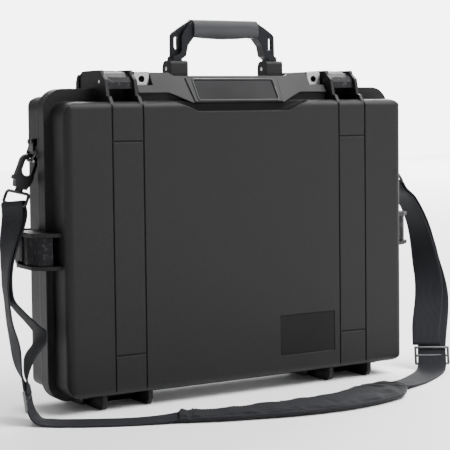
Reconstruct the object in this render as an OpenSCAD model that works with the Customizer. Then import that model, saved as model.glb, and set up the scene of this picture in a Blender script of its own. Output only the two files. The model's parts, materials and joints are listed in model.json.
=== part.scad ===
// Laptop hard case, standing on its hinge side with the lid towards -Y.
// X runs to the right, Y to the back, Z up. The origin is on the floor, under the middle.

/* [Shell] */
// Width of the shell over its side walls
shell_w = 487; // [460:1:560]
// Height of the shell over its bottom and top walls
shell_h = 348; // [330:1:400]
// Depth of the lid, from its face to the parting plane
lid_depth = 56; // [54:1:70]
// Depth of the base, from the parting plane to its back
base_depth = 58; // [54:1:80]
// Thickness of the moulded walls
wall = 4; // [3.5:0.5:5]
// Radius of the four corners, seen from the front
corner_r = 18; // [14:1:26]
// Radius of the edge between a face and the walls round it
edge_r = 9; // [7:1:12]
// How far the feet hold the shell above the floor
foot_h = 18; // [18:0.5:22]

/* [Flange] */
// How far the flange stands out from the walls
flange_out = 8.5; // [7:0.5:10]
// How much higher the base and the flange are along the top
flange_top_extra = 7.5; // [6:0.5:8]
// Thickness of the lid's flange
lid_flange_t = 14; // [10:1:15]
// Thickness of the base's flange
base_flange_t = 6; // [5:1:9]
// Gap between the two flanges when the case is shut
part_gap = 0.3; // [0.2:0.1:0.6]
// Width of the sealing ring
seal_t = 3; // [2:0.5:3]

/* [Face] */
// Distance of each pair of face grooves from the middle, to the pair's centre
groove_pair_x = 162.5; // [155:0.5:175]
// Width of a face groove
groove_w = 2; // [1.5:0.5:3]
// Depth of a face groove
groove_depth = 1.6; // [1:0.2:2]
// Distance of the cross grooves from the top and bottom of the shell
cross_groove_in = 47; // [35:1:70]
// Width of the label recess
label_w = 84; // [60:1:90]
// Height of the label recess
label_h = 51; // [35:1:60]

/* [Latches] */
// Clear width between the two ribs of a latch
latch_gap = 34; // [32:0.5:36]
// Thickness of a latch rib
rib_t = 4.6; // [4:0.2:6]
// Height of the latch ribs above the wall
rib_h = 37.5; // [37:0.5:39]
// Radius of the latch pins
latch_pin_r = 2; // [1.5:0.25:2.5]
// Side clearance of a latch between its ribs
latch_side_gap = 0.4; // [0.3:0.1:0.8]
// How far the side latches are set in from the side walls
side_latch_in = 6; // [4:0.5:6.5]

/* [Hinges] */
// Distance of each hinge from the middle
hinge_x = 163.5; // [150:0.5:175]
// Radius of the hinge pin
hinge_pin_r = 2.5; // [2:0.25:3]
// Radius of the hinge knuckles
knuckle_r = 8; // [7.5:0.25:8]
// Half of the width over a hinge's two lid fins
fin_reach = 33.5; // [30:0.5:36]
// Thickness of a fin
fin_t = 6; // [5:0.5:8]
// Gap between neighbouring knuckles
knuckle_gap = 0.4; // [0.3:0.1:0.8]

/* [Handle] */
// Width of the handle over its legs
handle_w = 152; // [146:1:156]
// Height of the handle's top above its pins
handle_rise = 61; // [58:1:75]
// Thickness of the handle, front to back
handle_t = 22; // [20:1:24]
// Radius of the handle pins
handle_pin_r = 2.5; // [2:0.25:3]

/* [Strap] */
// Width of the webbing
webbing_w = 38; // [30:1:40]
// Thickness of the webbing
webbing_t = 2.4; // [1.6:0.2:2.6]
// Width of the shoulder pad
pad_w = 66; // [55:1:75]
// Thickness of the shoulder pad
pad_t = 13; // [9:1:16]

/* [Hidden] */

shell_color = [0.22, 0.22, 0.23];
latch_color = [0.16, 0.16, 0.17];
steel_color = [0.78, 0.78, 0.76];
foam_color = [0.28, 0.28, 0.30];
webbing_color = [0.13, 0.14, 0.18];

round_fn = 96;
small_fn = 48;

// Places that everything is built from
total_depth = lid_depth + base_depth;
face_y = -total_depth / 2;
part_y = face_y + lid_depth;
back_y = face_y + total_depth;
shell_bottom = foot_h;
shell_top = foot_h + shell_h;
shell_mid = foot_h + shell_h / 2;
base_top = shell_top + flange_top_extra;
base_h = base_top - shell_bottom;
base_mid = (base_top + shell_bottom) / 2;
half_gap = part_gap / 2;
lid_rim_y = part_y - half_gap;
base_rim_y = part_y + half_gap;

// The flange reaches further out along the top
flange_w = shell_w + 2 * flange_out;
flange_bottom = shell_bottom - flange_out;
flange_top = shell_top + flange_out + flange_top_extra;
flange_h = flange_top - flange_bottom;
flange_mid = (flange_top + flange_bottom) / 2;

side_latch_x = shell_w / 2 - side_latch_in;

// How far every bore stands clear of the pin that turns in it
pin_play = 0.06;

// ---- shared shapes ----

// A rectangle with round corners, centred
module round_rect(w, h, r) {
    square([w - 2 * r, h], center = true);
    square([w, h - 2 * r], center = true);
    for (x = [-1, 1], y = [-1, 1])
        translate([x * (w / 2 - r), y * (h / 2 - r)]) circle(r, $fn = round_fn);
}

// Extrudes an outline drawn in X and Z from one depth to another
module along_y(y0, y1) {
    translate([0, y1, 0]) rotate([90, 0, 0]) linear_extrude(y1 - y0) children();
}

// Extrudes an outline drawn in Y and Z, centred on one X
module along_x(x, t) {
    translate([x - t / 2, 0, 0]) rotate([90, 0, 90]) linear_extrude(t) children();
}

// A slab with round corners, seen from the front
module slab(w, h, r, mid_z, y0, y1) {
    along_y(y0, y1) translate([0, mid_z]) round_rect(w, h, r);
}

// A strip from a to b, h wide, with two round corners at a: the section of a tray
module tray_section(a, b, h, r) {
    translate([a + r, -h / 2]) square([b - a - r, h]);
    translate([a, -h / 2 + r]) square([r + 1, h - 2 * r]);
    for (s = [-1, 1]) translate([a + r, s * (h / 2 - r)]) circle(r, $fn = round_fn);
}

// A tray that opens to +Y, with round corners and a round front edge
module tray(w, h, mid_z, y0, y1, corner, edge) {
    intersection() {
        slab(w, h, corner, mid_z, y0, y1);
        translate([0, 0, mid_z]) along_x(0, w + 2) tray_section(y0, y1, h, edge);
        translate([0, 0, mid_z - h]) linear_extrude(2 * h)
            rotate(90) tray_section(y0, y1, w, edge);
    }
}

// A pin along X, centred on x, at one place of the Y-Z plane
module cross_pin(x, t, place, r) {
    translate([x - t / 2, place[0], place[1]]) rotate([0, 90, 0]) cylinder(r = r, h = t, $fn = small_fn);
}

// Puts its children at a latch: x across, y from the parting plane, z out from the wall
module latch_place(i) {
    if (i == 0) translate([-groove_pair_x, part_y, shell_top]) children();
    if (i == 1) translate([groove_pair_x, part_y, shell_top]) children();
    if (i == 2) translate([-side_latch_x, part_y, shell_mid]) rotate([0, -90, 0]) children();
    if (i == 3) translate([side_latch_x, part_y, shell_mid]) rotate([0, 90, 0]) children();
}

// ---- latches, seen from the side: [distance behind the parting plane, height over the wall] ----
latch_pivot = [-24, 24];
lever_pivot = [10, 28];
pivot_boss_r = 5.5;
cheek_r = 5;
lever_boss_r = 4.6;
frame_half = latch_gap / 2 - latch_side_gap;
cheek_t = 3.2;
lever_half = frame_half - cheek_t - 0.3;
hook_half = lever_half - 0.5;
rib_outer = latch_gap / 2 + rib_t;
bar_front = 14;
bar_low = 14;
bar_t = 6;
wing_half = rib_outer + 1.4;
rib_toe = edge_r - sqrt(edge_r * edge_r - (edge_r - 0.6) * (edge_r - 0.6));

lid_rib_outline = [
    [-lid_depth + 0.6, -rib_toe], [-lid_depth + 2, -2.6], [-lid_depth + 8, 6], [-43, 7],
    [-38.3, 26.4], [-29, 33], [-27, rib_h], [-half_gap, rib_h], [-half_gap, -wall / 2],
    [-lid_depth + edge_r, -wall / 2], [-lid_depth + edge_r, -rib_toe]
];
// The side latches' ribs stop short of the face
lid_side_rib_outline = [
    [-42.5, wall / 2], [-42.5, 9.5], [-40.5, 16], [-37, 24.5], [-31, 31], [-26, rib_h],
    [-half_gap, rib_h], [-half_gap, wall / 2]
];
base_rib_outline = [
    [half_gap, -wall / 2], [half_gap, rib_h], [10, rib_h], [22, rib_h - 0.6],
    [28, rib_h - 4], [28.4, 12], [22, -wall / 2]
];
cheek_outline = [
    [-31, 18], [-30.5, 25], [-28, 28], [-21, 32.4], [-10, 34.4], [10, 33], [10, 23], [-24, 18.5]
];
frame_plate_outline = [
    [-36, 15], [-35.3, 23], [-31, 29], [-22, 34], [-10, 36.3], [-2, 36.5], [-2, 33], [-10, 32.8],
    [-20.5, 30.6], [-28.2, 26.4], [-31.8, 21.8], [-32.2, 15]
];
cover_front_outline = [[0, 33.4], [3, 37.6], [10.6, 37.8], [17.5, 37.3], [17.5, 34], [14.5, 34.4]];
cover_rear_outline = [
    [17, 37.3], [27, 36.5], [34, 31], [37.5, 24], [38, 13], [35.5, 12], [34.5, 22],
    [31, 29], [26, 32.6], [17, 34]
];
lever_web_outline = [[5.6, 28], [5.6, 34.5], [14.4, 34.5], [14.4, 28]];
hook_outline = [
    [21.3, 33.5], [21.3, 14], [18.5, 13.4], [18.5, 10], [24, 10], [26, 14], [26, 33]
];
wing_outline = [[29.3, 14], [29.3, 33], [31, 33.4], [34, 31], [37.5, 24], [38, 14]];

module latch_ribs(outline) {
    for (s = [-1, 1]) along_x(s * (latch_gap + rib_t) / 2, rib_t) polygon(outline);
}

// ---- hinges, seen from the side ----
hinge_z = knuckle_r + 0.5;
hinge_axis = [part_y, hinge_z];
fin_front = -lid_depth + 8;
fin_root_z = shell_bottom + wall - 1;
lid_fin_outline = [
    [fin_front, fin_root_z], [fin_front, 7], [fin_front + 4.5, 1.2], [fin_front + 12, 0],
    [-5, 0], [0, hinge_z - knuckle_r], [0, hinge_z + knuckle_r - 0.5], [-7, fin_root_z]
];
base_foot_outline = [
    [0, hinge_z - knuckle_r], [5, 0], [36, 0], [43, 4], [46, fin_root_z],
    [5, fin_root_z], [0, hinge_z + knuckle_r - 0.5]
];
barrel_web_outline = [
    [0, hinge_z - knuckle_r], [6, 2.5], [14, shell_bottom - 4], [14, fin_root_z],
    [4, fin_root_z], [0, hinge_z + knuckle_r - 0.5]
];
fin_x = fin_reach - fin_t / 2;
foot_t = 6;
foot_x = fin_reach + knuckle_gap + foot_t / 2;
barrel_half = fin_reach - fin_t - knuckle_gap;
hinge_half = foot_x + foot_t / 2;
knuckle_room = knuckle_r + 0.6;

module at_hinges() {
    for (s = [-1, 1]) translate([s * hinge_x, 0, 0]) children();
}

// ---- padlock tabs ----
tab_w = 22;
tab_out = groove_pair_x - rib_outer - 4;
tab_in = tab_out - tab_w;
tab_x = (tab_in + tab_out) / 2;
lid_tab_t = 20.5;
base_tab_t = 16;
tab_top = flange_top + 20;
tab_root_z = shell_top - wall / 2;
plate_t = 1.5;
plate_w = 20;
plate_h = 16.5;
plate_low = tab_top - plate_h;
padlock_r = 4.2;
padlock_z = flange_top + 11;

// Holes through the tabs and their plates, from one depth to another
module padlock_bores(y0, y1) {
    for (s = [-1, 1]) translate([s * tab_x, y0, padlock_z]) rotate([-90, 0, 0])
        cylinder(r = padlock_r, h = y1 - y0, $fn = small_fn);
}

module tab_pair(y0, y1) {
    for (s = [-1, 1]) translate([s * tab_x - tab_w / 2, y0, tab_root_z])
        cube([tab_w, y1 - y0, tab_top - tab_root_z]);
}

module plate_pair(y) {
    color(steel_color) difference() {
        for (s = [-1, 1]) along_y(y, y + plate_t)
            translate([s * tab_x, plate_low + plate_h / 2]) round_rect(plate_w, plate_h, 2);
        padlock_bores(y - 1, y + plate_t + 1);
    }
}

// ---- the sloped step on the lid, between its top latches ----
step_top = flange_top + 19;
step_dip = step_top - 4;
step_low = step_top - 25;
step_low_mid = step_top - 37.5;
step_foot_y = face_y + 24;
slope_top_y = face_y + 36;
slope_tilt = 32.6;
slope_run = (step_top - step_low_mid) * tan(slope_tilt);
dip_x = 88;
scoop_half = 103;
scoop_low = shell_top - 13;
scoop_back = face_y + 18;

step_outline = [
    [-tab_out, step_low], [-tab_out, plate_low], [-tab_in, plate_low], [-tab_in, step_top],
    [-dip_x, step_top], [-dip_x + 6, step_dip], [dip_x - 6, step_dip], [dip_x, step_top],
    [tab_in, step_top], [tab_in, plate_low], [tab_out, plate_low], [tab_out, step_low],
    [96, step_low], [81, step_low - 6], [67, step_low_mid], [-67, step_low_mid],
    [-81, step_low - 6], [-96, step_low]
];
scoop_outline = [
    [-scoop_half, shell_top + 1], [-79, scoop_low + 6], [-66, scoop_low], [66, scoop_low],
    [79, scoop_low + 6], [scoop_half, shell_top + 1]
];
step_section = [
    [slope_top_y - slope_run, step_low_mid], [slope_top_y, step_top], [lid_rim_y, step_top],
    [lid_rim_y, step_low_mid]
];
step_web_section = [
    [step_foot_y, shell_top - wall / 2], [step_foot_y, step_low + 2],
    [lid_rim_y, step_low + 2], [lid_rim_y, shell_top - wall / 2]
];

// Name plate on the slope, label on the face
name_plate_z = step_top - 22;
name_plate_w = 114;
name_plate_h = 28;
name_frame_h = 35;
name_frame_outline = [
    [-63.5, -name_frame_h / 2], [63.5, -name_frame_h / 2], [67.5, name_frame_h / 2],
    [-67.5, name_frame_h / 2]
];
label_x = 91.3;
label_z = shell_bottom + 50;
label_depth = 1.2;

// Lays its children on the slope: x across, y up the slope, z out of it
module on_slope() {
    translate([0, slope_top_y - (step_top - name_plate_z) * tan(slope_tilt), name_plate_z])
        rotate([90 - slope_tilt, 0, 0]) children();
}

module step_block() {
    intersection() {
        along_y(face_y, lid_rim_y) polygon(step_outline);
        along_x(0, 2 * tab_out + 2) polygon(step_section);
    }
    along_x(0, 2 * tab_out) polygon(step_web_section);
}

// ---- handle ----
handle_y = part_y - 4;
handle_z = flange_top + 24;
handle_axis = [handle_y, handle_z];
ear_t = 5.5;
ear_gap = 0.5;
ear_rise = 10;
leg_w = 12.5;
leg_t = handle_t - 6;
leg_plate_t = 5;
boot_t = 3.4;
boot_front = handle_y - leg_t / 2 - 0.6 - boot_t;
leg_out = handle_w / 2;
leg_in = leg_out - leg_w;
leg_wide_in = leg_in - ear_gap - ear_t;
ear_in_x = leg_in - ear_gap - ear_t / 2;
ear_out_x = leg_out + ear_gap + ear_t / 2;
slot_x = leg_out - 7.5;
clevis_x = (leg_in + leg_out) / 2;
clevis_w = leg_w + 2 * ear_gap + 2 * ear_t;
ear_low = flange_top + 3.5;

ear_outline = [
    [base_rim_y, tab_root_z], [base_rim_y, ear_low], [boot_front, ear_low],
    [boot_front, handle_z + ear_rise - 3.5], [boot_front + 1, handle_z + ear_rise - 1],
    [boot_front + boot_t, handle_z + ear_rise], [handle_y + 3, handle_z + ear_rise],
    [handle_y + 7.5, handle_z + ear_rise - 2.5], [handle_y + 9.8, handle_z + 2],
    [handle_y + 9.3, handle_z - 10], [part_y + 22, tab_root_z]
];
// The boots close the front of the legs, so the handle folds to the back only
boot_outline = [
    [boot_front, ear_low], [boot_front, handle_z + ear_rise - 3.5],
    [boot_front + 1, handle_z + ear_rise - 1], [boot_front + boot_t, handle_z + ear_rise],
    [boot_front + boot_t, ear_low]
];
// A leg is a thin plate with a slot, and a thick body at its foot and inner edge
leg_outline = [
    [leg_in, 0], [leg_in, 12], [leg_wide_in, 16], [leg_wide_in - 3, 29], [47, 38],
    [47, handle_rise - 1], [53, handle_rise - 4], [64, handle_rise - 10.5],
    [leg_out - 3, handle_rise - 16.5], [leg_out - 0.5, handle_rise - 20], [leg_out, 12], [leg_out, 0]
];
leg_body_outline = [
    [leg_in, 0], [leg_in, 12], [leg_wide_in, 16], [leg_wide_in - 3, 29], [47, 38],
    [47, handle_rise - 2.5], [52, handle_rise - 6], [60, handle_rise - 14], [slot_x - 5, 40],
    [slot_x - 5, 23], [slot_x - 2, 18.5], [leg_out - 1, 15], [leg_out, 12], [leg_out, 0]
];
grip_outline = [
    [-47, 38.5], [-38, 39.5], [-25, 38], [0, 37], [25, 38], [38, 39.5], [47, 38.5],
    [47, handle_rise], [-47, handle_rise]
];
grip_mid = (37 + handle_rise) / 2;
slot_low = 24;
slot_high = handle_rise - 21.5;
slot_w = 6.4;
grip_w = 96;
core_t = 9;

// The core's bar inside the grip
module core_bar() {
    translate([-grip_w / 2, handle_y - core_t / 2, handle_z + 43]) cube([grip_w, core_t, handle_rise - 49]);
}

// Room for the clevises over the lid's rim, and the step's hollow in front of it
room_front = boot_front - 1.5;
hollow_back = room_front - 3.5;
step_hollow_section = [
    [step_foot_y + wall, shell_top - wall - 1], [step_foot_y + wall, step_low + 5],
    [hollow_back - 1, step_dip - 7], [hollow_back, step_dip - 7], [hollow_back, shell_top - wall - 1]
];

// ---- sealing ring, in the lid's rim ----
seal_low = shell_bottom + 1.6;
seal_high = base_top + 1;
seal_w = shell_w + 3;
seal_h = seal_high - seal_low;
seal_mid = (seal_low + seal_high) / 2;
seal_r = 16;
seal_depth = 5;

module seal_band(y0, y1) {
    difference() {
        slab(seal_w + seal_t, seal_h + seal_t, seal_r + seal_t / 2, seal_mid, y0, y1);
        slab(seal_w - seal_t, seal_h - seal_t, seal_r - seal_t / 2, seal_mid, y0 - 1, y1 + 1);
    }
}

// ---- carrying strap: rings on the base's side walls ----
ring_x = shell_w / 2 + 6.5;
ring_y = part_y + 21;
ring_rise = 121;
ring_bar_z = shell_mid + ring_rise;
ring_leg = 5;
ring_bend_r = 12;
ring_rod_r = 2;
ring_tilt = 20;
ring_drop = ring_leg + ring_bend_r;
bracket_w = 14;
bracket_t = 10.5;
screw_r = 1.5;
screw_z = ring_bar_z + 6.5;
hook_tilt_left = 22;
hook_tilt_right = 35;

// Pressure valve on the base's top wall
valve_y = part_y + 30;
valve_bore_r = 7;
valve_boss_top = base_top + 2;

module screw_spots() {
    for (s = [-1, 1], t = [-1, 1]) translate([s * shell_w / 2, ring_y + t * 3.8, screw_z])
        rotate([0, s * 90, 0]) children();
}

// ---- shells ----

module face_grooves(y, top) {
    half = rib_outer - groove_w / 2;
    for (s = [-1, 1]) {
        for (g = [-1, 1])
            translate([s * groove_pair_x + g * half - groove_w / 2, y - groove_depth, shell_bottom - 1])
                cube([groove_w, 2 * groove_depth, top - shell_bottom + 2]);
        for (z = [shell_bottom + cross_groove_in, shell_top - cross_groove_in])
            translate([s * groove_pair_x - half, y - groove_depth, z - groove_w / 2])
                cube([2 * half, 2 * groove_depth, groove_w]);
    }
}

module base_body() {
    mirror([0, 1, 0]) tray(shell_w, base_h, base_mid, -back_y, -base_rim_y, corner_r, edge_r);
    slab(flange_w, flange_h, corner_r + flange_out, flange_mid, base_rim_y, part_y + base_flange_t);
    for (i = [0:3]) latch_place(i) {
        latch_ribs(base_rib_outline);
        translate([-latch_gap / 2 - 1, bar_front, bar_low]) cube([latch_gap + 2, bar_t + 0.5, bar_t]);
    }
    tab_pair(base_rim_y, part_y + base_tab_t);
    for (s = [-1, 1]) {
        for (x = [ear_in_x, ear_out_x]) along_x(s * x, ear_t) polygon(ear_outline);
        along_x(s * clevis_x, clevis_w) polygon(boot_outline);
        translate([s * clevis_x - clevis_w / 2, base_rim_y, tab_root_z])
            cube([clevis_w, 18, ear_low - tab_root_z]);
    }
    translate([0, valve_y, base_top - 1]) cylinder(r = 17, h = 3, $fn = round_fn);
    at_hinges() {
        for (s = [-1, 1]) translate([0, part_y, 0]) along_x(s * foot_x, foot_t) polygon(base_foot_outline);
        translate([0, part_y, 0]) along_x(0, 2 * barrel_half) polygon(barrel_web_outline);
    }
}

module base_shell() {
    color(shell_color) difference() {
        union() {
            difference() {
                base_body();
                mirror([0, 1, 0])
                    tray(shell_w - 2 * wall, base_h - 2 * wall, base_mid, -back_y + wall, -part_y + 1,
                         corner_r - wall, edge_r - wall / 2);
                // Room for the lid's knuckles
                at_hinges() for (s = [-1, 1])
                    cross_pin(s * fin_x, fin_t + 2 * knuckle_gap, hinge_axis, knuckle_room);
            }
            at_hinges() {
                for (s = [-1, 1]) cross_pin(s * foot_x, foot_t, hinge_axis, knuckle_r);
                cross_pin(0, 2 * barrel_half, hinge_axis, knuckle_r);
            }
        }
        face_grooves(back_y, base_top);
        at_hinges() cross_pin(0, 2 * hinge_half + 1, hinge_axis, hinge_pin_r);
        padlock_bores(base_rim_y - 1, part_y + base_tab_t + 1);
        for (s = [-1, 1]) cross_pin(s * clevis_x, clevis_w + 2, handle_axis, handle_pin_r);
        translate([0, valve_y, base_top - wall - 1]) cylinder(r = valve_bore_r, h = wall + 5, $fn = small_fn);
        screw_spots() translate([0, 0, -3]) cylinder(r = screw_r, h = 4, $fn = small_fn);
    }
}

module lid_body() {
    difference() {
        tray(shell_w, shell_h, shell_mid, face_y, lid_rim_y, corner_r, edge_r);
        along_y(face_y - 1, scoop_back) polygon(scoop_outline);
    }
    slab(flange_w, flange_h, corner_r + flange_out, flange_mid, part_y - lid_flange_t, lid_rim_y);
    step_block();
    for (i = [0:1]) latch_place(i) latch_ribs(lid_rib_outline);
    for (i = [2:3]) latch_place(i) latch_ribs(lid_side_rib_outline);
    tab_pair(part_y - lid_tab_t, lid_rim_y);
    on_slope() translate([0, 0, -3]) linear_extrude(4.2) polygon(name_frame_outline);
}

module lid_shell() {
    color(shell_color) difference() {
        union() {
            difference() {
                lid_body();
                // Inside, kept a wall behind the scoop
                difference() {
                    tray(shell_w - 2 * wall, shell_h - 2 * wall, shell_mid, face_y + wall, part_y + 1,
                         corner_r - wall, edge_r - wall / 2);
                    translate([-scoop_half - wall, face_y, scoop_low - wall])
                        cube([2 * scoop_half + 2 * wall, scoop_back - face_y + wall, 60]);
                }
                along_x(0, 2 * tab_in - 8) polygon(step_hollow_section);
                // Room for the base's knuckles
                at_hinges() {
                    for (s = [-1, 1])
                        cross_pin(s * foot_x, foot_t + 2 * knuckle_gap, hinge_axis, knuckle_room);
                    cross_pin(0, 2 * barrel_half + 2 * knuckle_gap, hinge_axis, knuckle_room);
                }
            }
            at_hinges() for (s = [-1, 1]) {
                translate([0, part_y, 0]) along_x(s * fin_x, fin_t) polygon(lid_fin_outline);
                cross_pin(s * fin_x, fin_t, hinge_axis, knuckle_r);
            }
        }
        face_grooves(face_y, shell_top);
        on_slope() linear_extrude(4) round_rect(name_plate_w, name_plate_h, 2);
        translate([label_x - label_w / 2, face_y - 1, label_z - label_h / 2])
            cube([label_w, 1 + label_depth, label_h]);
        seal_band(lid_rim_y - seal_depth - 0.1, part_y + 1);
        translate([-dip_x, room_front, flange_top + 1]) cube([2 * dip_x, 40, 60]);
        at_hinges() cross_pin(0, 2 * hinge_half, hinge_axis, hinge_pin_r + pin_play);
        for (i = [0:3]) latch_place(i) cross_pin(0, 2 * rib_outer + 2, latch_pivot, latch_pin_r);
        padlock_bores(part_y - lid_tab_t - 1, part_y);
    }
}

module sealing_ring() {
    color(latch_color) seal_band(lid_rim_y - seal_depth - 0.1, lid_rim_y - 0.1);
}

// ---- lining ----
pocket_w = 400;
pocket_h = 280;
pocket_depth = 41;
foam_front = part_y + 2;

module base_foam() {
    color(foam_color) difference() {
        mirror([0, 1, 0])
            tray(shell_w - 2 * wall - 1, base_h - 2 * wall - 1, base_mid, -back_y + wall, -foam_front,
                 corner_r - wall, edge_r);
        slab(pocket_w, pocket_h, 12, shell_mid, foam_front - 1, foam_front + pocket_depth);
        // Finger recesses at both ends of the pocket
        for (s = [-1, 1]) translate([s * (pocket_w / 2 - 8), foam_front - 1, shell_mid]) rotate([-90, 0, 0])
            cylinder(r = 26, h = pocket_depth + 1, $fn = round_fn);
    }
}

// The lid's lining is a field of soft peaks, four steps from one peak to the next
foam_cols = 34;
foam_rows = 24;
foam_half = shell_w / 2 - wall - 0.6;
foam_low = shell_bottom + wall + 0.6;
foam_high = scoop_low - wall - 0.6;
foam_mid = (foam_low + foam_high) / 2;
foam_back = face_y + wall;
foam_side = foam_back + 9;
foam_valley = part_y - 26;
foam_peak = 15;
foam_chamfer = 8;
corner_pull = 4.6;

function foam_edge(i, n) = i == 0 ? -1 : i == n ? 1 : 0;
function foam_pull(i, j) =
    foam_edge(i, foam_cols) != 0 && foam_edge(j, foam_rows) != 0 ? corner_pull : 0;
function foam_x(i, j) =
    -foam_half + 2 * foam_half * i / foam_cols - foam_edge(i, foam_cols) * foam_pull(i, j);
function foam_z(i, j) =
    foam_low + (foam_high - foam_low) * j / foam_rows - foam_edge(j, foam_rows) * foam_pull(i, j);
function foam_y(i, j) =
    foam_valley + foam_peak * (0.5 - 0.25 * cos(90 * i) - 0.25 * cos(90 * j));

// The grid's rim, once round
foam_rim = concat(
    [for (i = [0:foam_cols - 1]) [i, 0]], [for (j = [0:foam_rows - 1]) [foam_cols, j]],
    [for (i = [foam_cols:-1:1]) [i, foam_rows]], [for (j = [foam_rows:-1:1]) [0, j]]
);
foam_count = len(foam_rim);
foam_grid = (foam_cols + 1) * (foam_rows + 1);
foam_points = concat(
    [for (j = [0:foam_rows], i = [0:foam_cols]) [foam_x(i, j), foam_y(i, j), foam_z(i, j)]],
    [for (p = foam_rim) [foam_x(p[0], p[1]), foam_side, foam_z(p[0], p[1])]],
    [for (p = foam_rim) [
        foam_x(p[0], p[1]) * (1 - foam_chamfer / foam_half), foam_back,
        foam_mid + (foam_z(p[0], p[1]) - foam_mid) * (1 - foam_chamfer * 2 / (foam_high - foam_low))
    ]],
    [[0, foam_back, foam_mid]]
);
function foam_index(p) = p[1] * (foam_cols + 1) + p[0];
foam_faces = concat(
    [for (j = [0:foam_rows - 1], i = [0:foam_cols - 1])
        [foam_index([i, j]), foam_index([i + 1, j + 1]), foam_index([i + 1, j])]],
    [for (j = [0:foam_rows - 1], i = [0:foam_cols - 1])
        [foam_index([i, j]), foam_index([i, j + 1]), foam_index([i + 1, j + 1])]],
    [for (k = [0:foam_count - 1]) let (n = (k + 1) % foam_count)
        [foam_index(foam_rim[k]), foam_index(foam_rim[n]), foam_grid + n]],
    [for (k = [0:foam_count - 1]) let (n = (k + 1) % foam_count)
        [foam_index(foam_rim[k]), foam_grid + n, foam_grid + k]],
    [for (k = [0:foam_count - 1]) let (n = (k + 1) % foam_count)
        [foam_grid + k, foam_grid + n, foam_grid + foam_count + n]],
    [for (k = [0:foam_count - 1]) let (n = (k + 1) % foam_count)
        [foam_grid + k, foam_grid + foam_count + n, foam_grid + foam_count + k]],
    [for (k = [0:foam_count - 1]) let (n = (k + 1) % foam_count)
        [foam_grid + foam_count + k, foam_grid + foam_count + n, foam_grid + 2 * foam_count]]
);

module lid_foam() {
    color(foam_color) polyhedron(foam_points, foam_faces);
}

// ---- small fittings ----

module hinge_pins() {
    color(steel_color) at_hinges() cross_pin(0, 2 * hinge_half, hinge_axis, hinge_pin_r);
}

module padlock_plates_lid() {
    plate_pair(part_y - lid_tab_t - plate_t);
}

module padlock_plates_base() {
    plate_pair(part_y + base_tab_t);
}

module name_plate() {
    color(latch_color) on_slope() linear_extrude(0.8) round_rect(name_plate_w - 0.6, name_plate_h - 0.6, 2);
}

module label_plate() {
    color(latch_color) along_y(face_y + 0.4, face_y + label_depth)
        translate([label_x, label_z]) round_rect(label_w - 0.8, label_h - 0.8, 2);
}

module latch_pins() {
    color(steel_color) for (i = [0:3]) latch_place(i) cross_pin(0, 2 * rib_outer, latch_pivot, latch_pin_r);
}

module pressure_valve() {
    color(latch_color) translate([0, valve_y, 0]) {
        translate([0, 0, base_top - wall]) cylinder(r = valve_bore_r, h = wall + 2, $fn = small_fn);
        translate([0, 0, valve_boss_top]) cylinder(r = 13, h = 3, $fn = round_fn);
    }
}

module valve_cap() {
    color(shell_color) translate([0, valve_y, valve_boss_top + 3]) cylinder(r = 9, h = 4.5, $fn = round_fn);
}

// ---- latch parts ----

module latch_frame(i) {
    color(latch_color) latch_place(i) difference() {
        union() {
            for (s = [-1, 1]) {
                along_x(s * (frame_half - cheek_t / 2), cheek_t) polygon(cheek_outline);
                cross_pin(s * (frame_half - cheek_t / 2), cheek_t, latch_pivot, pivot_boss_r);
                cross_pin(s * (frame_half - cheek_t / 2), cheek_t, lever_pivot, cheek_r);
            }
            along_x(0, 2 * frame_half) polygon(frame_plate_outline);
        }
        cross_pin(0, 2 * frame_half + 2, latch_pivot, latch_pin_r + pin_play);
        cross_pin(0, 2 * frame_half + 2, lever_pivot, latch_pin_r);
    }
}

module lever_pin(i) {
    color(steel_color) latch_place(i) cross_pin(0, 2 * frame_half, lever_pivot, latch_pin_r);
}

module latch_lever(i) {
    color(latch_color) latch_place(i) difference() {
        union() {
            along_x(0, 2 * lever_half) {
                polygon(cover_front_outline);
                polygon(lever_web_outline);
            }
            cross_pin(0, 2 * lever_half, lever_pivot, lever_boss_r);
            along_x(0, 2 * frame_half) polygon(cover_rear_outline);
            along_x(0, 2 * hook_half) polygon(hook_outline);
            for (s = [-1, 1]) along_x(s * (wing_half + frame_half - 0.6) / 2, wing_half - frame_half + 0.6)
                polygon(wing_outline);
        }
        cross_pin(0, 2 * frame_half + 2, lever_pivot, latch_pin_r + pin_play);
    }
}

// ---- handle parts ----

module handle_core() {
    color(latch_color) difference() {
        union() {
            for (s = [-1, 1]) {
                translate([0, handle_y, handle_z]) mirror([s < 0 ? 1 : 0, 0, 0]) {
                    along_y(-leg_plate_t / 2, leg_plate_t / 2) polygon(leg_outline);
                    along_y(-leg_t / 2, leg_t / 2) polygon(leg_body_outline);
                }
                cross_pin(s * clevis_x, leg_w, handle_axis, leg_t / 2);
            }
            core_bar();
        }
        for (s = [-1, 1]) {
            cross_pin(s * clevis_x, leg_w + 2, handle_axis, handle_pin_r + pin_play);
            along_y(handle_y - leg_t, handle_y + leg_t)
                translate([s * slot_x, handle_z + (slot_low + slot_high) / 2])
                    round_rect(slot_w, slot_high - slot_low, slot_w / 2 - 0.1);
        }
    }
}

module handle_grip() {
    color(shell_color) difference() {
        intersection() {
            translate([0, handle_y, handle_z]) along_y(-handle_t, handle_t) polygon(grip_outline);
            translate([0, handle_y, handle_z]) along_x(0, grip_w)
                translate([0, grip_mid]) round_rect(handle_t, handle_rise - 37, 9);
        }
        core_bar();
    }
}

module handle_pins() {
    color(steel_color) for (s = [-1, 1]) cross_pin(s * clevis_x, clevis_w, handle_axis, handle_pin_r);
}

// ---- strap fittings ----

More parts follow.
